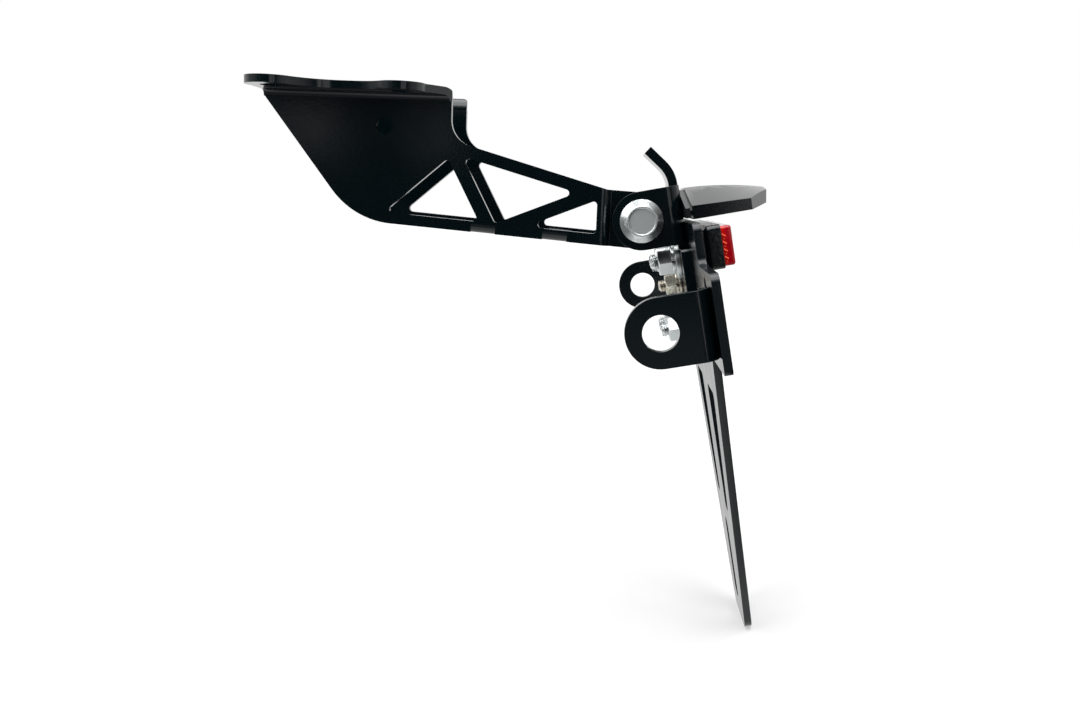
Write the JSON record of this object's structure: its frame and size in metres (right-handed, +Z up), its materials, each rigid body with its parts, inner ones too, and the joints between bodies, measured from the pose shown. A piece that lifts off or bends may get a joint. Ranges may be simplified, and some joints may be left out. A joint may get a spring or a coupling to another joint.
{
  "type": "tail tidy",
  "caption": "Folded black sheet bracket that carries a motorbike's number plate, plate light, reflector and indicators on a tilting joint behind a truss arm.",
  "frame": {"origin": "top face of the mount flange, midway between its two front bolt holes", "axes": "+X to the rear of the bike, -Y its left side, +Z up"},
  "size_m": [0.1734, 0.164, 0.182],
  "materials": {
    "black_sheet": "satin",
    "bright_zinc": "bright",
    "yellow_zinc": "bright",
    "foam": "matte",
    "black_tray": "gloss",
    "red_lens": "gloss",
    "black_rubber": "matte",
    "black_hood": "satin",
    "lamp_board": "matte",
    "clear_window": "clear",
    "black_screw": "satin"
  },
  "bodies": {
    "arm": {"arm_bracket": "black_sheet", "pivot_bolts": "bright_zinc", "pivot_nuts": "bright_zinc"},
    "holder": {"hinge_bracket": "black_sheet", "plate_holder": "black_sheet", "holder_screws": "bright_zinc", "wide_washers": "bright_zinc", "spring_washers": "bright_zinc", "holder_nuts": "bright_zinc", "locating_screw": "yellow_zinc", "locating_washer": "yellow_zinc", "locating_spring_washer": "yellow_zinc", "locating_nut": "yellow_zinc", "reflector_pad": "foam", "reflector_tray": "black_tray", "reflector_lens": "red_lens", "light_seat": "black_rubber", "light_hood": "black_hood", "light_board": "lamp_board", "light_window": "clear_window", "light_screws": "black_screw", "wire_grommet": "black_rubber"}
  },
  "joints": [
    {"name": "plate_tilt", "type": "hinge", "parent": "arm", "child": "holder", "pos_m": [0.1187, 0, -0.0406], "axis": [0, -1, 0], "range_deg": [-15, 30]}
  ]
}
